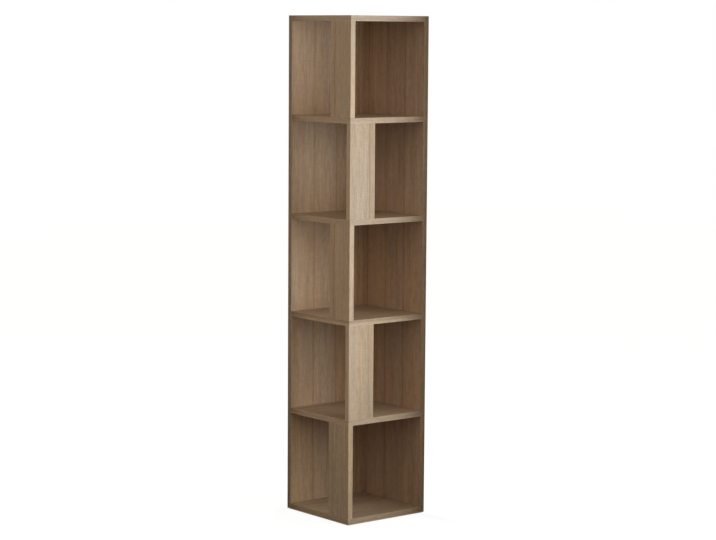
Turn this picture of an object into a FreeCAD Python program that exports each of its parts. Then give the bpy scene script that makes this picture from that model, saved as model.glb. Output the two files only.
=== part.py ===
"""Corner shelving unit of laminated boards.

Two full-height panels stand at right angles, against the two walls of a room corner. Six square
boards are screwed between them, and in each tier a narrow post carries the free corner. The posts
change sides from tier to tier.

Millimetres, +Z up. The origin is on the floor under the middle of the unit, which is open towards
-X, its left face, and towards -Y, its front face.
"""
import FreeCAD, Part
import math
import os
from FreeCAD import Placement, Rotation, Vector

# Overall layout
unit_width = 318.0              # along X
unit_depth = 318.0              # along Y
tier_count = 5
tier_height = 300.0             # clear height between two boards
panel_thickness = 18.0
shelf_thickness = 18.0
post_thickness = 18.0
post_width = 100.0

# Edge bands glued to every board edge that shows
band_thickness = 0.8
band_radius = 0.5

# Clearances and cutting allowances
fit_clearance = 0.05            # all round a fitting in its hole
hole_end_room = 1.0             # left free past the end of a fitting
cutter_overrun = 1.0            # how far a cutter stands out of a face

# Panel screws: countersunk one-piece connectors with a hexagon socket
screw_length = 50.0
screw_diameter = 7.0
screw_core_diameter = 5.0
screw_plain_length = 16.0       # from the top of the head to the first thread
screw_thread_pitch = 3.0
screw_tip_length = 4.0
screw_head_diameter = 10.0
screw_head_rim = 1.0
screw_head_sink = 0.3           # below the panel's outer face
screw_socket_flats = 4.0
screw_socket_depth = 2.5
screw_front_inset = 60.0        # from the free edge of a board
screw_rear_inset = 60.0         # from the inner corner of the panels

# Wooden dowels in the ends of the posts
dowel_diameter = 8.0
dowel_length = 30.0
dowel_depth_in_shelf = 11.0
dowel_chamfer = 1.0
dowel_flute_count = 8
dowel_flute_radius = 0.5
dowel_inset = 20.0              # from the long edges of the post

# Cam locks in the inner faces of the posts, with their bolts
cam_diameter = 15.0
cam_height = 12.5
cam_wall = 2.0
cam_distance = 34.0             # from the end of the post to the middle of the cam
cam_recess_length = 6.0
cam_recess_width = 1.4
cam_recess_depth = 2.0
bolt_diameter = 6.5
bolt_collar_diameter = 7.6
bolt_collar_height = 1.2
bolt_thread_length = 10.0
bolt_thread_root = 5.0
bolt_thread_pitch = 2.0
bolt_neck_diameter = 3.6
bolt_neck_lead = 0.6            # how far the neck starts before the cam
bolt_head_diameter = 6.4
bolt_head_length = 3.0

# Push-in caps over the cams
cap_diameter = 18.0
cap_height = 1.4
cap_rim = 0.5
cap_crown_diameter = 13.0
cap_stem_length = 1.6

# Nail-in glides under the base
glide_diameter = 16.0
glide_height = 2.0
glide_chamfer = 0.6
glide_recess = 1.3
glide_inset = 34.0              # from the outline of the unit
nail_diameter = 2.2
nail_head_diameter = 5.0
nail_head_thickness = 0.8
nail_length = 13.0
nail_tip_length = 2.5

# Planes worked out from the layout
x_left = -unit_width / 2
x_right = unit_width / 2
y_front = -unit_depth / 2
y_back = unit_depth / 2
x_inner = x_right - panel_thickness
y_inner = y_back - panel_thickness
tier_pitch = tier_height + shelf_thickness
unit_top = glide_height + tier_count * tier_pitch + shelf_thickness

UP = Vector(0, 0, 1)
TO_LEFT = Vector(-1, 0, 0)
TO_FRONT = Vector(0, -1, 0)
AXES = "xyz"


# Basic shapes

def box(low, high):
    """Block between its lowest and its highest corner."""
    sizes = [top - bottom for bottom, top in zip(low, high)]
    return Part.makeBox(*sizes, Vector(*low))


def rod(radius, start, end):
    """Plain cylinder about +Z between two heights."""
    return Part.makeCylinder(radius, end - start, Vector(0, 0, start))


def turned(profile):
    """Solid turned about +Z from points given as radius and height."""
    points = [Vector(radius, 0, height) for radius, height in profile]
    face = Part.Face(Part.makePolygon(points + points[:1]))
    solid = face.revolve(Vector(0, 0, 0), UP, 360)
    if solid.Volume < 0:
        solid.reverse()
    return solid


def thread(crest, root, start, pitch, count):
    """Profile points of a row of thread grooves, from one crest to the last."""
    points = []
    for number in range(count):
        groove = start + number * pitch
        points.append((root, groove + pitch / 2))
        points.append((crest, groove + pitch))
    return points


def aimed(shape, point, direction):
    """Copy of a shape with its +Z turned to a direction and its origin at a point."""
    copy = shape.copy()
    copy.Placement = Placement(point, Rotation(UP, direction))
    return copy


# Boards with their edge bands

def sides_under(edge, low, high):
    """Names of the board's sides that an edge of a band lies on."""
    sides = []
    for axis, name in enumerate(AXES):
        places = [vertex.Point[axis] for vertex in edge.Vertexes]
        if all(math.isclose(place, low[axis], abs_tol=1e-6) for place in places):
            sides.append("-" + name)
        if all(math.isclose(place, high[axis], abs_tol=1e-6) for place in places):
            sides.append("+" + name)
    return sides


def rounded_band(band_low, band_high, low, high, thin_axis, banded_sides):
    """One edge band, rounded where it forms an edge of the finished board."""
    band = box(band_low, band_high)
    rounded = []
    for edge in band.Edges:
        sides = sides_under(edge, low, high)
        covered = [side for side in sides if side in banded_sides]
        faces = [side for side in sides if side[1] == thin_axis]
        if len(covered) + len(faces) == 2 and covered:
            rounded.append(edge)
    return band.makeFillet(band_radius, rounded)


def board(low, high, thin_axis, banded_sides):
    """Core and edge bands of one board; each band runs over the ends of the bands after it."""
    core_low = list(low)
    core_high = list(high)
    bands = []
    for side in banded_sides:
        axis = AXES.index(side[1])
        band_low = list(core_low)
        band_high = list(core_high)
        if side[0] == "-":
            core_low[axis] += band_thickness
            band_high[axis] = core_low[axis]
        else:
            core_high[axis] -= band_thickness
            band_low[axis] = core_high[axis]
        bands.append(rounded_band(band_low, band_high, low, high, thin_axis, banded_sides))
    return box(core_low, core_high), bands


def board_bottom(level):
    """Height of the underside of a horizontal board; level 0 is the bottom board."""
    return glide_height + level * tier_pitch


def board_name(level):
    """Node name of a horizontal board."""
    if level == 0:
        return "bottom_board"
    if level == tier_count:
        return "top_board"
    return "shelf_" + str(level)


def side_panel():
    """Full-height panel at +X, over the edge of the back panel."""
    low = (x_inner, y_front, glide_height)
    high = (x_right, y_back, unit_top)
    return board(low, high, "x", ["-y", "+y", "+z", "-z"])


def back_panel():
    """Full-height panel at +Y, butted against the side panel."""
    low = (x_left, y_inner, glide_height)
    high = (x_inner, y_back, unit_top)
    return board(low, high, "y", ["-x", "+z", "-z"])


def horizontal_board(level):
    """Bottom board, shelf or top board, banded on its two free edges."""
    low = (x_left, y_front, board_bottom(level))
    high = (x_inner, y_inner, board_bottom(level) + shelf_thickness)
    return board(low, high, "z", ["-y", "-x"])


def post_is_left(tier):
    """Posts stand in the left face in the first tier, the third and so on."""
    return tier % 2 == 0


def post(tier):
    """Post between two boards, flush with the outside of the free corner."""
    floor = board_bottom(tier) + shelf_thickness
    ceiling = floor + tier_height
    low = (x_left, y_front, floor)
    if post_is_left(tier):
        high = (x_left + post_thickness, y_front + post_width, ceiling)
        return board(low, high, "x", ["-y", "+y"])
    high = (x_left + post_width, y_front + post_thickness, ceiling)
    return board(low, high, "y", ["-x", "+x"])


# Panel screws and their holes

def hexagon(flats, height):
    """Hexagonal prism standing on the XY plane."""
    radius = flats / math.sqrt(3)
    points = []
    for corner in range(7):
        angle = math.radians(60 * corner)
        points.append(Vector(radius * math.cos(angle), radius * math.sin(angle), 0))
    return Part.Face(Part.makePolygon(points)).extrude(Vector(0, 0, height))


def panel_screw():
    """Screw with the top of its head at the origin, pointing along +Z."""
    head = screw_head_diameter / 2
    shank = screw_diameter / 2
    core = screw_core_diameter / 2
    room = screw_length - screw_tip_length - screw_plain_length
    turns = int(room / screw_thread_pitch)
    profile = [(0, 0), (head, 0), (head, screw_head_rim)]
    profile.append((shank, screw_head_rim + head - shank))
    profile.append((shank, screw_plain_length))
    profile += thread(shank, core, screw_plain_length, screw_thread_pitch, turns)
    profile.append((0, screw_length))
    return turned(profile).cut(hexagon(screw_socket_flats, screw_socket_depth))


def screw_hole():
    """Countersunk hole for a panel screw, through the panel and on into the next board."""
    head = screw_head_diameter / 2 + fit_clearance
    bore = screw_diameter / 2 + fit_clearance
    mouth = -screw_head_sink - cutter_overrun
    end = screw_length + hole_end_room
    seat = screw_head_rim + head - bore
    return turned([(0, mouth), (head, mouth), (head, screw_head_rim), (bore, seat), (bore, end), (0, end)])


def shelf_screw_places(level):
    """Head points and directions of the four screws that hold one horizontal board."""
    middle = board_bottom(level) + shelf_thickness / 2
    head_x = x_right - screw_head_sink
    head_y = y_back - screw_head_sink
    places = []
    for y in (y_front + screw_front_inset, y_inner - screw_rear_inset):
        places.append((Vector(head_x, y, middle), TO_LEFT))
    for x in (x_left + screw_front_inset, x_inner - screw_rear_inset):
        places.append((Vector(x, head_y, middle), TO_FRONT))
    return places


def corner_screw_place(tier):
    """Head point and direction of the screw that joins the two panels in one tier."""
    middle = board_bottom(tier) + shelf_thickness + tier_height / 2
    head = Vector(x_right - screw_head_sink, y_back - panel_thickness / 2, middle)
    return head, TO_LEFT


# Post fittings: +Z points out of the post into the board, and the origin lies in the joint

def dowel():
    """Fluted dowel with chamfered ends."""
    radius = dowel_diameter / 2
    tip = radius - dowel_chamfer
    top = dowel_depth_in_shelf
    bottom = top - dowel_length
    profile = [(0, bottom), (tip, bottom), (radius, bottom + dowel_chamfer)]
    profile += [(radius, top - dowel_chamfer), (tip, top), (0, top)]
    body = turned(profile)
    flutes = []
    for number in range(dowel_flute_count):
        angle = 2 * math.pi * number / dowel_flute_count
        flute = rod(dowel_flute_radius, bottom - cutter_overrun, top + cutter_overrun)
        flute.translate(Vector(radius * math.cos(angle), radius * math.sin(angle), 0))
        flutes.append(flute)
    return body.cut(flutes)


def dowel_hole():
    """Blind hole across the joint for a dowel."""
    top = dowel_depth_in_shelf + hole_end_room
    bottom = dowel_depth_in_shelf - dowel_length - hole_end_room
    return rod(dowel_diameter / 2 + fit_clearance, bottom, top)


def bolt_shoulder():
    """Height at which the rim of the bolt's head bears on the inside of the cam's round wall."""
    chamber = cam_diameter / 2 - cam_wall
    reach = math.sqrt(chamber ** 2 - (bolt_head_diameter / 2) ** 2)
    return -(cam_distance - reach + fit_clearance)


def cam_bolt():
    """Bolt screwed into a board, with its head in the cam."""
    shank = bolt_diameter / 2
    collar = bolt_collar_diameter / 2
    head = bolt_head_diameter / 2
    neck = bolt_neck_diameter / 2
    neck_top = -(cam_distance - cam_diameter / 2 - bolt_neck_lead)
    shoulder = bolt_shoulder()
    bottom = shoulder - bolt_head_length
    turns = int(bolt_thread_length / bolt_thread_pitch)
    profile = [(0, bottom), (neck, bottom), (head, bottom + head - neck), (head, shoulder)]
    profile += [(neck, shoulder), (neck, neck_top), (shank, neck_top), (shank, -bolt_collar_height)]
    profile += [(collar, -bolt_collar_height), (collar, 0), (shank, 0)]
    profile += thread(shank, bolt_thread_root / 2, 0, bolt_thread_pitch, turns)
    profile.append((0, turns * bolt_thread_pitch))
    return turned(profile)


def bolt_hole():
    """Holes for a cam bolt: threaded end in the board, wider bore in the post."""
    in_board = rod(bolt_diameter / 2 + fit_clearance, 0, bolt_thread_length + hole_end_room)
    in_post = rod(bolt_collar_diameter / 2 + fit_clearance, -cam_distance, 0)
    return in_board.fuse(in_post)


def cam_lock():
    """Cam with its face at the origin, facing +Z; the bolt comes from +X at half the post's thickness."""
    radius = cam_diameter / 2
    depth = post_thickness / 2
    grip = bolt_head_diameter / 2 + fit_clearance
    slot = bolt_neck_diameter / 2 + fit_clearance
    body = rod(radius, -cam_height, 0)
    chamber = rod(radius - cam_wall, -cam_height - cutter_overrun, -depth + grip)
    neck_slot = box((-radius, -slot, -depth - slot), (radius, radius, -depth + slot))
    entry = aimed(rod(grip, 0, radius), Vector(0, 0, -depth), Vector(-1, 0, 0))
    return body.cut([chamber, neck_slot, entry, drive_cross(cam_recess_depth, 0)])


def drive_cross(depth, clearance):
    """Cross for the screwdriver, below the XY plane and smaller by a clearance on each side."""
    half_length = cam_recess_length / 2 - clearance
    half_width = cam_recess_width / 2 - clearance
    along = box((-half_length, -half_width, -depth), (half_length, half_width, 0))
    across = box((-half_width, -half_length, -depth), (half_width, half_length, 0))
    return along.fuse(across)


def cam_cap():
    """Round cap on the post's face, plugged into the cross of the cam."""
    rim = cap_diameter / 2
    crown = cap_crown_diameter / 2
    disc = turned([(0, 0), (rim, 0), (rim, cap_rim), (crown, cap_height), (0, cap_height)])
    return disc.fuse(drive_cross(cap_stem_length, fit_clearance)).removeSplitter()


def post_point(tier, across, height):
    """Point in the middle of a post's thickness, at a distance across from the free corner."""
    if post_is_left(tier):
        return Vector(x_left + post_thickness / 2, y_front + across, height)
    return Vector(x_left + across, y_front + post_thickness / 2, height)


def post_inward(tier):
    """Direction from a post's outer face to its inner face."""
    return Vector(1, 0, 0) if post_is_left(tier) else Vector(0, 1, 0)


def post_ends(tier):
    """Joint height, outward direction and board level of a post's lower and upper end."""
    floor = board_bottom(tier) + shelf_thickness
    return [(floor, -UP, tier), (floor + tier_height, UP, tier + 1)]


def cam_placement(tier, height, outward):
    """Place of a cam: its face in the post's inner face, its +X towards the joint."""
    inward = post_inward(tier)
    middle = post_point(tier, post_width / 2, height) - outward * cam_distance
    turn = Rotation(outward, Vector(0, 0, 0), inward, "ZXY")
    return Placement(middle + inward * (post_thickness / 2), turn)


# Glides

def glide_pad():
    """Plastic disc under the bottom board, with a recess for its nail."""
    rim = glide_diameter / 2
    bore = nail_diameter / 2 + fit_clearance
    recess = nail_head_diameter / 2 + fit_clearance
    profile = [(bore, glide_height), (bore, glide_recess), (recess, glide_recess), (recess, 0)]
    profile += [(rim - glide_chamfer, 0), (rim, glide_chamfer), (rim, glide_height)]
    return turned(profile)


def glide_nail():
    """Nail through a glide, with its head up in the recess."""
    head = nail_head_diameter / 2
    shank = nail_diameter / 2
    bottom = glide_recess - nail_head_thickness
    tip = bottom + nail_length
    profile = [(0, bottom), (head, bottom), (head, glide_recess), (shank, glide_recess)]
    profile += [(shank, tip - nail_tip_length), (0, tip)]
    return turned(profile)


def nail_hole():
    """Hole for a nail in the bottom board."""
    end = glide_recess - nail_head_thickness + nail_length + hole_end_room
    return rod(nail_diameter / 2 + fit_clearance, glide_recess, end)


def glide_places():
    """Floor points of the four glides."""
    places = []
    for x in (x_left + glide_inset, x_right - glide_inset):
        for y in (y_front + glide_inset, y_back - glide_inset):
            places.append(Vector(x, y, 0))
    return places


# Assembly

def build_boards():
    """Cores and bands of all boards, by node name."""
    boards = {"side_panel": side_panel(), "back_panel": back_panel()}
    for level in range(tier_count + 1):
        boards[board_name(level)] = horizontal_board(level)
    for tier in range(tier_count):
        boards["post_" + str(tier + 1)] = post(tier)
    cores = {name: core for name, (core, bands) in boards.items()}
    bands = {name + "_edge_bands": bands for name, (core, bands) in boards.items()}
    return cores, bands


def add_panel_screws(fittings, cuts):
    """Screws through the panels into the boards and into the edge of the back panel."""
    screw = panel_screw()
    hole = screw_hole()
    places = []
    for level in range(tier_count + 1):
        for head, direction in shelf_screw_places(level):
            panel = "side_panel" if direction == TO_LEFT else "back_panel"
            places.append((head, direction, [panel, board_name(level)]))
    for tier in range(tier_count):
        head, direction = corner_screw_place(tier)
        places.append((head, direction, ["side_panel", "back_panel"]))
    for head, direction, held in places:
        fittings["panel_screws"].append(aimed(screw, head, direction))
        for name in held:
            cuts[name].append(aimed(hole, head, direction))


def add_post_fittings(fittings, cuts):
    """Dowels, cam bolts, cams and caps at both ends of every post."""
    cam_room = rod(cam_diameter / 2 + fit_clearance, -cam_height - hole_end_room, cutter_overrun)
    pieces = {"post_dowels": dowel(), "cam_bolts": cam_bolt(), "cam_locks": cam_lock(), "cam_caps": cam_cap()}
    for tier in range(tier_count):
        name = "post_" + str(tier + 1)
        for height, outward, level in post_ends(tier):
            held = [name, board_name(level)]
            for across in (dowel_inset, post_width - dowel_inset):
                point = post_point(tier, across, height)
                fittings["post_dowels"].append(aimed(pieces["post_dowels"], point, outward))
                for board_held in held:
                    cuts[board_held].append(aimed(dowel_hole(), point, outward))
            point = post_point(tier, post_width / 2, height)
            fittings["cam_bolts"].append(aimed(pieces["cam_bolts"], point, outward))
            for board_held in held:
                cuts[board_held].append(aimed(bolt_hole(), point, outward))
            place = cam_placement(tier, height, outward)
            for fitting in ("cam_locks", "cam_caps"):
                copy = pieces[fitting].copy()
                copy.Placement = place
                fittings[fitting].append(copy)
            room = cam_room.copy()
            room.Placement = place
            cuts[name].append(room)


def add_glides(fittings, cuts):
    """Glides and their nails under the bottom board."""
    for point in glide_places():
        fittings["glide_pads"].append(aimed(glide_pad(), point, UP))
        fittings["glide_nails"].append(aimed(glide_nail(), point, UP))
        cuts["bottom_board"].append(aimed(nail_hole(), point, UP))


def build():
    """All nodes by name, each a list of solids."""
    cores, bands = build_boards()
    cuts = {name: [] for name in cores}
    groups = ("panel_screws", "post_dowels", "cam_bolts", "cam_locks", "cam_caps", "glide_pads", "glide_nails")
    fittings = {name: [] for name in groups}
    add_panel_screws(fittings, cuts)
    add_post_fittings(fittings, cuts)
    add_glides(fittings, cuts)
    nodes = {name: [core.cut(cuts[name])] for name, core in cores.items()}
    nodes.update(bands)
    nodes.update(fittings)
    return nodes


def export(nodes):
    """One file per node."""
    os.makedirs("parts", exist_ok=True)
    for name, solids in nodes.items():
        shape = Part.makeCompound(solids)
        if not shape.isValid():
            raise ValueError(name + " is not a valid shape")
        shape.exportStep("parts/" + name + ".step")
        print(name, len(shape.Solids), round(shape.Volume, 1))


export(build())
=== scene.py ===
import math
import bpy
from mathutils import Matrix, Vector


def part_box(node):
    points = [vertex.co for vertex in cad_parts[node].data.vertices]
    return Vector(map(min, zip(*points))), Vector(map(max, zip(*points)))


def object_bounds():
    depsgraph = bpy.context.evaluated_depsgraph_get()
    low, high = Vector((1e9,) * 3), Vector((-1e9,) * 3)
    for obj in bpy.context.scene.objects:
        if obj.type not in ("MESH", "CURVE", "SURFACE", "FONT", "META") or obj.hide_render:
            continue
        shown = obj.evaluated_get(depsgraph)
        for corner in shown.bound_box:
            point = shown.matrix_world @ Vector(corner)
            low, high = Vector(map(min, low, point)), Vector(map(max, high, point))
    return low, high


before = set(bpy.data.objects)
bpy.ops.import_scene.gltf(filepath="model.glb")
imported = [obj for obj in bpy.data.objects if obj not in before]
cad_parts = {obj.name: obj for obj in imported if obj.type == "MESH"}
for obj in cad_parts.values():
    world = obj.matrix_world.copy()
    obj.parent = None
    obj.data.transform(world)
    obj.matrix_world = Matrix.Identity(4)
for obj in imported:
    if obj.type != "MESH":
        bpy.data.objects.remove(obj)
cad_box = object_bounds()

# View: the free corner of the unit points to the camera, a little to the left
image_width = 716
camera_distance = 6.8445        # level distance from the unit's axis
camera_azimuth = -39.052        # degrees, from the front face towards the left face
camera_height = 1.5566
camera_tilt = 6.369             # degrees downwards
camera_roll = 0.390             # degrees
camera_offset = 0.0034          # of the camera, to its right
camera_reach = 60.0             # farthest that the camera sees
focal_length_pixels = 2127.4
sensor_width = 36.0             # millimetres, as the lens is

# Studio light, as colour and watts
key_colour = (0.86, 1.0, 1.14)
key_power = 32.5
key_place = (0.73, -1.29, 1.08)
key_target = (-0.10, -0.16, 1.00)
key_size = (1.6, 1.5)
rear_colour = (1.0, 0.98, 0.95)
rear_power = 26.0
rear_place = (1.9, 2.3, 2.2)
rear_target = (0.1, 0.1, 0.9)
rear_size = (1.6, 1.6)
white = (1.0, 1.0, 1.0)
ambient_colour = (1.0, 0.90, 0.79)
ambient_strength = 0.69

# Dark cards and the floor
front_card_reach = 0.18         # of the card that shades the wall end of the front face
left_card_reach = 0.05          # of the card that shades the wall end of the left face
card_gap = 0.0008               # between a card and the unit
card_top = 2.20
low_card_distance = 1.5         # of the low cards that dim the light near the floor
low_card_top = 0.48
card_albedo = 0.02
floor_half_width = 9.0
floor_height = -0.0002          # just clear of the glides
floor_glow = 0.93               # share of white that the floor shows to the camera even in shade
floor_albedo = 0.12
shadow_edge = 0.010             # how far inside the unit's outline the floor's glow fades out, into a shadow painted under the unit

# Oak decor, from the darkest pores to the palest growth rings, in linear colour
oak_darkest = (0.230, 0.148, 0.088)
oak_dark = (0.353, 0.249, 0.158)
oak_pale = (0.482, 0.364, 0.243)
oak_palest = (0.575, 0.455, 0.321)
oak_stops = ((0.0, oak_darkest), (0.35, oak_dark), (0.65, oak_pale), (1.0, oak_palest))
oak_red_tint = (1.07, 0.97, 0.93)
oak_grey_tint = (0.95, 1.01, 1.07)
oak_honey_tint = (1.03, 0.965, 0.83)
mean_shade = 0.52               # of the decor, from 0 for the darkest to 1 for the palest
broad_warmth = 1.1              # how much redder or greyer the broad bands of the grain are
streak_warmth = 0.9             # the same for its streaks

# Tones: colour factors of one kind of board or band; some also hold painted light or shade, as said below
side_panel_tone = (1.05, 1.03, 1.11)
back_panel_tone = (1.03, 0.945, 0.87)
# The factor of the bottom board, shelves and top board is partly their tone and partly painted shade,
# darker for the shade on the shelf tops inside the unit
shelf_tone_and_painted_shade = (0.80, 0.78, 0.775)
post_tone = (1.0, 0.985, 0.955)
# The side and back panel bands are made paler to paint light on the panels' front edges
side_band_tone_and_painted_light = (1.08, 1.06, 1.05)
back_band_tone_and_painted_light = (1.12, 1.12, 1.12)
shelf_band_tone = (1.0, 1.0, 1.0)
# The post bands are made paler to paint light on the front edges of the posts
post_band_tone_and_painted_light = (1.10, 1.10, 1.10)

# Seeds: where in the noise the grain of a board or band is taken from
side_panel_seed = 154.5
back_panel_seed = 96.6
side_band_seed = 143.6
back_band_seed = 165.6
level_seeds = (20.0, 174.3, 92.4, 116.9, 31.6, 142.0)
post_seeds = (201.4, 75.0, 208.8, 296.4, 196.7)
shelf_band_seed_step = 1.3      # from a board's seed to the seed of its bands
post_band_seed_step = 1.9
plank_seed_step = 0.71          # from one plank to the next

# Planks: the decor is printed as planks glued side by side
plank_width = 0.092
plank_line = 0.0065             # half the width of the brown streak between two planks
plank_contrast = 0.10           # how much the planks differ in shade
plank_honey = 0.35              # how much yellower every other plank is
plank_slip = 3.0                # farthest that a plank's grain is shifted lengthwise
band_plank_start = 0.031        # where a plank begins on the bands
post_plank_start = 0.078        # from the edge of a post to its plank line
shelf_plank_shift = 0.017       # of the plank lines from one level to the next
grain_wave = 0.005              # how far the grain wanders to either side
grain_wave_rate = 11.0          # how often it wanders, per metre

# Layers of the decor: noise cells per metre across and along the grain, detail and roughness
broad_grain = (45.0, 2.6, 3.0, 0.5)
streak_grain = (170.0, 6.0, 3.0, 0.6)
fleck_grain = (260.0, 45.0, 2.0, 0.6)
fibre_grain = (800.0, 24.0, 3.0, 0.65)
saw_mark_grain = (45.0, 240.0, 2.0, 0.5)
pore_grain = (1900.0, 75.0, 1.0, 0.5)
ring_grain = (17.0, 1.1, 1.0, 0.5)
patch_grain = (21.0, 1.9, 2.0, 0.5)
ring_rate = 110.0               # how close together the growth lines are

# Shares: how much each layer lightens or darkens the decor
broad_share = 0.38
streak_share = 0.50
fleck_share = 0.42
fibre_share = 0.42
saw_mark_share = 0.20
ring_share = -0.12
pore_share = -0.22
line_share = -0.20

# Ranges of noise over which a mark sets in
pore_range = (0.60, 0.72)
pore_zone_range = (0.40, 0.62)
ring_range = (0.35, 1.0)
ring_break_range = (0.30, 0.65)
line_break_range = (0.25, 0.55)
line_faintest = 0.4             # what is left of a plank line where fibres break it
patch_range = (0.36, 0.66)
wear_range = (0.36, 0.60)

# Surface of the decor
oak_roughness = 0.44
fibre_roughness = 0.20          # added where the fibres are coarse
fibre_height = 0.5              # as a share of the depth of the pores
relief_strength = 0.22
relief_depth = 0.00025
oak_specular = 0.32
band_thickness = 0.0008
edge_wear_width = 0.0016
edge_wear_scale = 38.0          # noise cells per metre along a rubbed edge
edge_wear_tint = 0.10           # how much paler a rubbed edge is
edge_wear_roughness = -0.07

# Fittings: dark and pale tint in linear colour, and lowest and highest roughness
zinc_tints = ((0.22, 0.22, 0.21), (0.34, 0.34, 0.32))
zinc_roughness = (0.56, 0.70)
cast_tints = ((0.36, 0.37, 0.38), (0.50, 0.51, 0.52))
cast_roughness = (0.48, 0.62)
beech_tints = ((0.45, 0.27, 0.14), (0.64, 0.45, 0.27))
beech_roughness = (0.75, 0.62)
beech_specular = 0.3
cap_tints = ((0.40, 0.31, 0.205), (0.455, 0.36, 0.245))
cap_roughness = (0.40, 0.50)
glide_tints = ((0.020, 0.014, 0.010), (0.060, 0.045, 0.034))
glide_roughness = (0.42, 0.62)
plastic_specular = 0.4
common_range = (0.30, 0.70)     # in which most values of a noise are
scuff_range = (0.35, 0.75)
fine_relief = 0.0001
coarse_relief = 0.0002

tier_count = 5
levels = ["bottom_board"]
levels += ["shelf_%d" % number for number in range(1, tier_count)]
levels += ["top_board"]
posts = ["post_%d" % number for number in range(1, tier_count + 1)]


class Finish:
    """A material and its node tree, with short calls for the nodes that the finishes share."""

    def __init__(self, name):
        self.material = bpy.data.materials.new(name)
        self.material.use_nodes = True
        self.tree = self.material.node_tree
        self.surface = self.tree.nodes["Principled BSDF"]

    def put(self, socket, value):
        """Links another node's output to a socket, or sets the socket to a constant."""
        if isinstance(value, bpy.types.NodeSocket):
            self.tree.links.new(value, socket)
        elif value is not None:
            socket.default_value = value

    def math(self, operation, first, second=None, third=None, clamp=False):
        node = self.tree.nodes.new("ShaderNodeMath")
        node.operation = operation
        node.use_clamp = clamp
        for socket, value in zip(node.inputs, (first, second, third)):
            self.put(socket, value)
        return node.outputs[0]

    def vector(self, operation, first, second):
        node = self.tree.nodes.new("ShaderNodeVectorMath")
        node.operation = operation
        self.put(node.inputs[0], first)
        self.put(node.inputs[1], second)
        return node.outputs[0]

    def position(self):
        """Place on the object, in metres, as X, Y, Z."""
        node = self.tree.nodes.new("ShaderNodeTexCoord")
        return node.outputs["Object"]

    def split(self, vector):
        node = self.tree.nodes.new("ShaderNodeSeparateXYZ")
        self.put(node.inputs[0], vector)
        return node.outputs

    def join(self, x, y, z):
        node = self.tree.nodes.new("ShaderNodeCombineXYZ")
        for socket, value in zip(node.inputs, (x, y, z)):
            self.put(socket, value)
        return node.outputs[0]

    def noise(self, vector, scale=1.0, detail=2.0, roughness=0.5, distortion=0.0):
        node = self.tree.nodes.new("ShaderNodeTexNoise")
        self.put(node.inputs["Vector"], vector)
        self.put(node.inputs["Scale"], scale)
        self.put(node.inputs["Detail"], detail)
        self.put(node.inputs["Roughness"], roughness)
        self.put(node.inputs["Distortion"], distortion)
        return node.outputs["Fac"]

    def chance(self, number):
        """A value from 0 to 1 that is the same for the same number."""
        node = self.tree.nodes.new("ShaderNodeTexWhiteNoise")
        node.noise_dimensions = "1D"
        self.put(node.inputs["W"], number)
        return node.outputs["Value"]

    def step(self, value, low, high, start=0.0, end=1.0):
        """Goes smoothly from start to end while the value goes from low to high."""
        node = self.tree.nodes.new("ShaderNodeMapRange")
        node.interpolation_type = "SMOOTHSTEP"
        for socket, number in zip(node.inputs, (value, low, high, start, end)):
            self.put(socket, number)
        return node.outputs[0]

    def add_share(self, total, layer, share):
        """A total, more or less by a share of a noise layer that is 0.5 on average."""
        return self.math("MULTIPLY_ADD", self.math("SUBTRACT", layer, 0.5), share, total)

    def choose(self, factor, first, second):
        """The first value where the factor is 0, the second where it is 1."""
        node = self.tree.nodes.new("ShaderNodeMix")
        self.put(node.inputs["Factor"], factor)
        self.put(node.inputs["A"], first)
        self.put(node.inputs["B"], second)
        return node.outputs["Result"]

    def blend(self, factor, first, second):
        """Colour between the first and the second."""
        node = self.tree.nodes.new("ShaderNodeMix")
        node.data_type = "RGBA"
        sockets = {socket.identifier: socket for socket in node.inputs}
        self.put(sockets["Factor_Float"], factor)
        self.put(sockets["A_Color"], colour(first))
        self.put(sockets["B_Color"], colour(second))
        return [socket for socket in node.outputs if socket.identifier == "Result_Color"][0]

    def scale_colour(self, tint, factor):
        """A colour times a number that varies over the surface."""
        return self.vector("MULTIPLY", tint, self.join(factor, factor, factor))

    def ramp(self, factor, stops):
        """Colour along a list of (place, colour) stops."""
        node = self.tree.nodes.new("ShaderNodeValToRGB")
        self.put(node.inputs[0], factor)
        elements = node.color_ramp.elements
        while len(elements) < len(stops):
            elements.new(0.5)
        for element, (place, tint) in zip(elements, stops):
            element.position = place
            element.color = colour(tint)
        return node.outputs[0]

    def bump(self, height, strength, distance):
        node = self.tree.nodes.new("ShaderNodeBump")
        self.put(node.inputs["Height"], height)
        self.put(node.inputs["Strength"], strength)
        self.put(node.inputs["Distance"], distance)
        self.tree.links.new(node.outputs[0], self.surface.inputs["Normal"])

    def set(self, **values):
        """Sets inputs of the surface; an underscore stands for a space in an input's name."""
        for name, value in values.items():
            self.put(self.surface.inputs[name.replace("_", " ")], value)


def colour(value):
    """A colour with its alpha; links pass unchanged."""
    if isinstance(value, tuple) and len(value) == 3:
        return (*value, 1.0)
    return value


def edge_distance(finish, low, high):
    """Distance from the nearest edge of the box that the piece fills, for points on its surface."""
    place = finish.position()
    from_low = finish.vector("SUBTRACT", place, tuple(low))
    from_high = finish.vector("SUBTRACT", tuple(high), place)
    x, y, z = finish.split(finish.vector("MINIMUM", from_low, from_high))
    smaller = finish.math("MINIMUM", x, y)
    larger = finish.math("MAXIMUM", x, y)
    return finish.math("MAXIMUM", smaller, finish.math("MINIMUM", larger, z))


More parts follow.
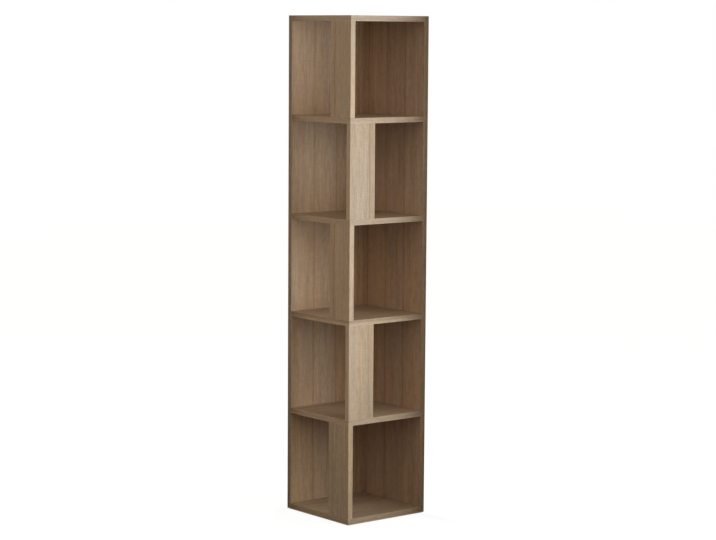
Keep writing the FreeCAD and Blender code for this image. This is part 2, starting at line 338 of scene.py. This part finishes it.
def oak_decor(finish, across, along, seed, plank_start):
    """Printed oak: planks, streaks, flecks, growth lines and pores along the grain, saw marks across it.

    Gives the shade, from 0 for the darkest to 1 for the palest, the warmth of the streaks, the honey tone
    of some parts, the pores and the fibres, each from 0 to 1."""
    wave_place = finish.join(seed, finish.math("MULTIPLY", along, grain_wave_rate), 0.0)
    across = finish.add_share(across, finish.noise(wave_place), grain_wave)
    planks = finish.math("DIVIDE", finish.math("SUBTRACT", across, plank_start), plank_width)
    plank = finish.math("FLOOR", planks)
    tone = finish.chance(finish.math("ADD", plank, seed))
    run = finish.math("MULTIPLY_ADD", tone, plank_slip, along)
    depth = finish.math("MULTIPLY_ADD", plank, plank_seed_step, seed)

    def layer(per_metre_across, per_metre_along, detail, roughness):
        """Noise stretched along the grain."""
        place = finish.join(finish.math("MULTIPLY", across, per_metre_across),
                            finish.math("MULTIPLY", run, per_metre_along), depth)
        return finish.noise(place, detail=detail, roughness=roughness)

    broad = layer(*broad_grain)
    streaks = layer(*streak_grain)
    flecks = layer(*fleck_grain)
    fibres = layer(*fibre_grain)
    saw_marks = layer(*saw_mark_grain)
    patches = layer(*patch_grain)
    pores = finish.math("MULTIPLY", finish.step(layer(*pore_grain), *pore_range),
                        finish.step(broad, *pore_zone_range))
    rings = finish.math("SINE", finish.math("MULTIPLY", layer(*ring_grain), ring_rate))
    rings = finish.math("MULTIPLY", finish.step(rings, *ring_range), finish.step(fibres, *ring_break_range))

    within = finish.math("FRACT", planks)
    to_line = finish.math("MINIMUM", within, finish.math("SUBTRACT", 1.0, within))
    line = finish.step(to_line, 0.0, plank_line / plank_width, 1.0, 0.0)
    line = finish.math("MULTIPLY", line, finish.step(fibres, *line_break_range, line_faintest, 1.0))

    shade = finish.add_share(mean_shade, tone, plank_contrast)
    textures = ((broad, broad_share), (streaks, streak_share), (flecks, fleck_share),
                (fibres, fibre_share), (saw_marks, saw_mark_share))
    for texture, share in textures:
        shade = finish.add_share(shade, texture, share)
    for mark, share in ((rings, ring_share), (pores, pore_share), (line, line_share)):
        shade = finish.math("MULTIPLY_ADD", mark, share, shade)
    warmth = finish.add_share(0.5, broad, broad_warmth)
    warmth = finish.math("MULTIPLY_ADD", finish.math("SUBTRACT", streaks, 0.5), streak_warmth, warmth,
                         clamp=True)
    even_plank = finish.math("SUBTRACT", 1.0, finish.math("PINGPONG", plank, 1.0))
    honey = finish.math("MULTIPLY_ADD", even_plank, plank_honey, finish.step(patches, *patch_range))
    honey = finish.math("DIVIDE", honey, 1.0 + plank_honey)
    honey = finish.math("MAXIMUM", honey, line)
    return shade, warmth, honey, pores, fibres


def oak_surface(finish, shade, warmth, honey, pores, fibres, worn, tone):
    """Colour, roughness and relief of the decor; rubbed edges are a little paler and smoother."""
    tint = finish.ramp(shade, oak_stops)
    tint = finish.vector("MULTIPLY", tint, finish.blend(warmth, oak_grey_tint, oak_red_tint))
    tint = finish.vector("MULTIPLY", tint, finish.blend(honey, white, oak_honey_tint))
    # The tone of the level boards also holds painted shade, and that of the panel and post bands painted
    # light
    tint = finish.vector("MULTIPLY", tint, tone)
    tint = finish.scale_colour(tint, finish.math("MULTIPLY_ADD", worn, edge_wear_tint, 1.0))
    roughness = finish.math("MULTIPLY_ADD", fibres, fibre_roughness, oak_roughness)
    roughness = finish.math("MULTIPLY_ADD", worn, edge_wear_roughness, roughness)
    height = finish.math("MULTIPLY_ADD", pores, -1.0, finish.math("MULTIPLY", fibres, fibre_height))
    finish.bump(height, relief_strength, relief_depth)
    finish.set(Base_Color=tint, Roughness=roughness, Specular_IOR_Level=oak_specular)


def worn_edges(finish, low, high):
    """Where the edges are rubbed: a thin, broken line along them."""
    patches = finish.noise(finish.position(), scale=edge_wear_scale, detail=3.0)
    rubbed = finish.step(edge_distance(finish, low, high), 0.0, edge_wear_width, 1.0, 0.0)
    return finish.math("MULTIPLY", rubbed, finish.step(patches, *wear_range))


def board_finish(name, along_axis, across_axis, seed, plank_start, tone):
    """Laminate on a board, with the grain along one axis."""
    finish = Finish("oak_board_" + name)
    low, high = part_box(name)
    axes = dict(zip("xyz", finish.split(finish.position())))
    decor = oak_decor(finish, axes[across_axis], axes[along_axis], seed, plank_start)
    oak_surface(finish, *decor, worn_edges(finish, low, high), tone)
    return finish.material


def band_finish(name, main_axis, cross_axis, end_axis, ends, seed, tone):
    """Printed edge band. The grain follows each strip: the main axis, or the cross axis on end strips.

    The end strips are those at the low end of the end axis, or at both of its ends."""
    finish = Finish("oak_edge_band_" + name)
    low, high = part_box(name)
    axes = dict(zip("xyz", finish.split(finish.position())))
    index = "xyz".index(end_axis)
    to_end = finish.math("SUBTRACT", axes[end_axis], low[index])
    if ends == "both":
        to_end = finish.math("MINIMUM", to_end, finish.math("SUBTRACT", high[index], axes[end_axis]))
    on_end = finish.math("LESS_THAN", to_end, band_thickness)
    along = finish.choose(on_end, axes[main_axis], axes[cross_axis])
    others = [axes[axis] for axis in "xyz" if axis != main_axis]
    end_others = [axes[axis] for axis in "xyz" if axis != cross_axis]
    across = finish.choose(on_end, finish.math("ADD", *others), finish.math("ADD", *end_others))
    decor = oak_decor(finish, across, along, seed, band_plank_start)
    oak_surface(finish, *decor, worn_edges(finish, low, high), tone)
    return finish.material


def dress(name, material):
    """Gives a node of the frame its material, in every slot that it has."""
    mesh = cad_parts[name].data
    if not mesh.materials:
        mesh.materials.append(material)
    for index in range(len(mesh.materials)):
        mesh.materials[index] = material


def dress_panels():
    """Upright grain on the two panels, with planks counted from their open edges."""
    side_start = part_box("side_panel_edge_bands")[0].y
    back_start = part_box("back_panel_edge_bands")[0].x
    dress("side_panel", board_finish("side_panel", "z", "y", side_panel_seed, side_start, side_panel_tone))
    dress("back_panel", board_finish("back_panel", "z", "x", back_panel_seed, back_start, back_panel_tone))
    dress("side_panel_edge_bands",
          band_finish("side_panel_edge_bands", "z", "y", "z", "both", side_band_seed, side_band_tone_and_painted_light))
    dress("back_panel_edge_bands",
          band_finish("back_panel_edge_bands", "z", "x", "z", "both", back_band_seed, back_band_tone_and_painted_light))


def dress_levels():
    """Grain from side to side on the bottom board, the shelves and the top board."""
    for number, (name, seed) in enumerate(zip(levels, level_seeds)):
        bands = name + "_edge_bands"
        band_seed = seed + shelf_band_seed_step
        dress(name, board_finish(name, "x", "y", seed, shelf_plank_shift * number, shelf_tone_and_painted_shade))
        dress(bands, band_finish(bands, "y", "x", "y", "low", band_seed, shelf_band_tone))


def dress_posts():
    """Upright grain on the posts, with one plank line on each."""
    for name, seed in zip(posts, post_seeds):
        low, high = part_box(name)
        across = "x" if high.x - low.x > high.y - low.y else "y"
        start = low.x if across == "x" else low.y
        bands = name + "_edge_bands"
        band_seed = seed + post_band_seed_step
        dress(name, board_finish(name, "z", across, seed, start + post_plank_start, post_tone))
        dress(bands, band_finish(bands, "z", "z", "z", "low", band_seed, post_band_tone_and_painted_light))


def two_tints(finish, noise, tints, noise_range=common_range):
    """Colour that goes from the dark to the pale tint over a range of the noise."""
    return finish.ramp(noise, tuple(zip(noise_range, tints)))


def zinc_steel():
    """Dulled zinc plating, with a faint mottle and fine turning marks."""
    finish = Finish("zinc_steel")
    mottle = finish.noise(finish.position(), scale=420.0, detail=3.0)
    marks = finish.noise(finish.position(), scale=2600.0, detail=2.0)
    finish.bump(marks, 0.10, fine_relief)
    finish.set(Base_Color=two_tints(finish, mottle, zinc_tints), Metallic=1.0,
               Roughness=finish.step(mottle, *common_range, *zinc_roughness))
    return finish.material


def zinc_cast():
    """Dull die casting, with a grainy skin."""
    finish = Finish("zinc_cast")
    grain = finish.noise(finish.position(), scale=900.0, detail=4.0)
    patches = finish.noise(finish.position(), scale=160.0, detail=2.0)
    finish.bump(grain, 0.25, coarse_relief)
    finish.set(Base_Color=two_tints(finish, patches, cast_tints), Metallic=1.0,
               Roughness=finish.step(grain, *common_range, *cast_roughness))
    return finish.material


def beech():
    """Raw beech with short flecks along the dowel."""
    finish = Finish("beech")
    stretched = finish.vector("MULTIPLY", finish.position(), (1500.0, 1500.0, 90.0))
    flecks = finish.noise(stretched, detail=3.0)
    finish.bump(flecks, 0.20, coarse_relief)
    finish.set(Base_Color=two_tints(finish, flecks, beech_tints), Specular_IOR_Level=beech_specular,
               Roughness=finish.step(flecks, *common_range, *beech_roughness))
    return finish.material


def cap_plastic():
    """Moulded caps in the colour of the boards, with a fine matt skin."""
    finish = Finish("cap_plastic")
    skin = finish.noise(finish.position(), scale=1700.0, detail=2.0)
    cloud = finish.noise(finish.position(), scale=130.0, detail=2.0)
    finish.bump(skin, 0.12, fine_relief)
    finish.set(Base_Color=two_tints(finish, cloud, cap_tints), Specular_IOR_Level=plastic_specular,
               Roughness=finish.step(skin, *common_range, *cap_roughness))
    return finish.material


def glide_plastic():
    """Dark brown glides, scuffed where they slide on the floor."""
    finish = Finish("glide_plastic")
    skin = finish.noise(finish.position(), scale=1300.0, detail=3.0)
    scuffs = finish.noise(finish.position(), scale=500.0, detail=4.0, distortion=1.5)
    finish.bump(skin, 0.15, fine_relief)
    finish.set(Base_Color=two_tints(finish, scuffs, glide_tints, scuff_range),
               Roughness=finish.step(scuffs, *scuff_range, *glide_roughness),
               Specular_IOR_Level=plastic_specular)
    return finish.material


def dress_fittings():
    """Materials of the screws, bolts, nails, cam locks, dowels, caps and glides."""
    steel = zinc_steel()
    for name in ("panel_screws", "cam_bolts", "glide_nails"):
        dress(name, steel)
    dress("cam_locks", zinc_cast())
    dress("post_dowels", beech())
    dress("cam_caps", cap_plastic())
    dress("glide_pads", glide_plastic())


def add_camera():
    """Camera with the lens and place that the photograph was taken with."""
    azimuth = math.radians(camera_azimuth)
    tilt = math.radians(camera_tilt)
    outward = Vector((math.sin(azimuth), -math.cos(azimuth), 0.0))
    right = Vector((math.cos(azimuth), math.sin(azimuth), 0.0))
    place = outward * camera_distance + right * camera_offset + Vector((0.0, 0.0, camera_height))
    backward = outward * math.cos(tilt) + Vector((0.0, 0.0, math.sin(tilt)))
    up = backward.cross(right)
    turned = Matrix((right, up, backward)).transposed() @ Matrix.Rotation(math.radians(camera_roll), 3, "Z")
    data = bpy.data.cameras.new("camera")
    data.sensor_width = sensor_width
    data.lens = focal_length_pixels * sensor_width / image_width
    data.clip_end = camera_reach
    camera = bpy.data.objects.new("camera", data)
    camera.matrix_world = Matrix.Translation(place) @ turned.to_4x4()
    bpy.context.scene.collection.objects.link(camera)
    bpy.context.scene.camera = camera


def add_softbox(name, place, target, size, tint, power):
    """Rectangular lamp that faces its target."""
    data = bpy.data.lights.new(name, "AREA")
    data.shape = "RECTANGLE"
    data.size, data.size_y = size
    data.color = tint
    data.energy = power
    lamp = bpy.data.objects.new(name, data)
    direction = Vector(target) - Vector(place)
    lamp.location = place
    lamp.rotation_euler = direction.to_track_quat("-Z", "Y").to_euler()
    lamp.visible_camera = False
    bpy.context.scene.collection.objects.link(lamp)


def add_lights():
    """Large soft key on the right of the free corner, and a rear lamp for the wall faces."""
    add_softbox("key_light", key_place, key_target, key_size, key_colour, key_power)
    add_softbox("rear_light", rear_place, rear_target, rear_size, rear_colour, rear_power)


def add_card(name, near, far, top):
    """Upright dark card between two points of the floor, out of the camera's sight."""
    corners = [(*near, 0.0), (*far, 0.0), (*far, top), (*near, top)]
    mesh = bpy.data.meshes.new(name)
    mesh.from_pydata(corners, [], [(0, 1, 2, 3)])
    finish = Finish(name)
    finish.set(Base_Color=colour((card_albedo,) * 3), Roughness=1.0, Specular_IOR_Level=0.0)
    mesh.materials.append(finish.material)
    card = bpy.data.objects.new(name, mesh)
    card.visible_camera = False
    bpy.context.scene.collection.objects.link(card)


def add_cards():
    """Cards that shade the wall ends of the open faces, and low ones that shade the foot of the unit."""
    low, high = cad_box
    x_wall = high[0] + card_gap
    y_wall = high[1] + card_gap
    x_open = low[0] - card_gap
    y_open = low[1] - card_gap
    add_card("front_card", (x_wall, y_open), (x_wall, y_open - front_card_reach), card_top)
    add_card("left_card", (x_open, y_wall), (x_open - left_card_reach, y_wall), card_top)
    corner = (x_open - low_card_distance, y_open - low_card_distance)
    add_card("low_front_card", corner, (x_wall + low_card_distance, corner[1]), low_card_top)
    add_card("low_left_card", corner, (corner[0], y_wall + low_card_distance), low_card_top)


def seen_directly(tree):
    """1 for rays that come from the camera or from a mirror or glass, otherwise 0."""
    path = tree.nodes.new("ShaderNodeLightPath")
    seen = path.outputs["Is Camera Ray"]
    for kind in ("Is Glossy Ray", "Is Transmission Ray"):
        larger = tree.nodes.new("ShaderNodeMath")
        larger.operation = "MAXIMUM"
        tree.links.new(seen, larger.inputs[0])
        tree.links.new(path.outputs[kind], larger.inputs[1])
        seen = larger.outputs[0]
    return seen


def add_world():
    """White to the eye, and a warm light on everything else."""
    world = bpy.data.worlds.new("studio")
    world.use_nodes = True
    tree = world.node_tree
    tree.nodes.clear()
    backdrop = tree.nodes.new("ShaderNodeBackground")
    backdrop.inputs["Color"].default_value = colour(white)
    ambient = tree.nodes.new("ShaderNodeBackground")
    ambient.inputs["Color"].default_value = colour(ambient_colour)
    ambient.inputs["Strength"].default_value = ambient_strength
    either = tree.nodes.new("ShaderNodeMixShader")
    output = tree.nodes.new("ShaderNodeOutputWorld")
    tree.links.new(seen_directly(tree), either.inputs[0])
    tree.links.new(ambient.outputs[0], either.inputs[1])
    tree.links.new(backdrop.outputs[0], either.inputs[2])
    tree.links.new(either.outputs[0], output.inputs[0])
    bpy.context.scene.world = world


def glow_with_painted_shadow(tree):
    """Strength of the floor's glow: none under the unit, where this paints a shadow, full outside its
    outline.
    """
    place = tree.nodes.new("ShaderNodeTexCoord")
    apart = tree.nodes.new("ShaderNodeVectorMath")
    apart.operation = "ABSOLUTE"
    axes = tree.nodes.new("ShaderNodeSeparateXYZ")
    farther = tree.nodes.new("ShaderNodeMath")
    farther.operation = "MAXIMUM"
    strength = tree.nodes.new("ShaderNodeMapRange")
    strength.interpolation_type = "SMOOTHSTEP"
    outline = cad_box[1][0]
    strength.inputs["From Min"].default_value = outline - shadow_edge
    strength.inputs["From Max"].default_value = outline
    strength.inputs["To Min"].default_value = 0.0
    strength.inputs["To Max"].default_value = floor_glow
    tree.links.new(place.outputs["Object"], apart.inputs[0])
    tree.links.new(apart.outputs[0], axes.inputs[0])
    tree.links.new(axes.outputs["X"], farther.inputs[0])
    tree.links.new(axes.outputs["Y"], farther.inputs[1])
    tree.links.new(farther.outputs[0], strength.inputs["Value"])
    return strength.outputs[0]


def floor_finish():
    """Matt floor that looks white and still takes a soft shadow, with a painted shadow where its glow stops
    under the unit.
    """
    material = bpy.data.materials.new("studio_floor")
    material.use_nodes = True
    tree = material.node_tree
    tree.nodes.clear()
    matt = tree.nodes.new("ShaderNodeBsdfDiffuse")
    matt.inputs["Color"].default_value = colour((floor_albedo,) * 3)
    glow = tree.nodes.new("ShaderNodeEmission")
    tree.links.new(glow_with_painted_shadow(tree), glow.inputs["Strength"])
    both = tree.nodes.new("ShaderNodeAddShader")
    either = tree.nodes.new("ShaderNodeMixShader")
    output = tree.nodes.new("ShaderNodeOutputMaterial")
    tree.links.new(matt.outputs[0], both.inputs[0])
    tree.links.new(glow.outputs[0], both.inputs[1])
    tree.links.new(seen_directly(tree), either.inputs[0])
    tree.links.new(matt.outputs[0], either.inputs[1])
    tree.links.new(both.outputs[0], either.inputs[2])
    tree.links.new(either.outputs[0], output.inputs[0])
    return material


def add_floor():
    """Wide floor, just under the glides."""
    mesh = bpy.data.meshes.new("floor")
    reach = floor_half_width
    sides = ((-reach, -reach), (reach, -reach), (reach, reach), (-reach, reach))
    mesh.from_pydata([(x, y, floor_height) for x, y in sides], [], [(0, 1, 2, 3)])
    mesh.materials.append(floor_finish())
    floor = bpy.data.objects.new("floor", mesh)
    bpy.context.scene.collection.objects.link(floor)


dress_panels()
dress_levels()
dress_posts()
dress_fittings()
add_floor()
add_world()
add_lights()
add_cards()
add_camera()
bpy.context.scene.view_settings.view_transform = "Standard"
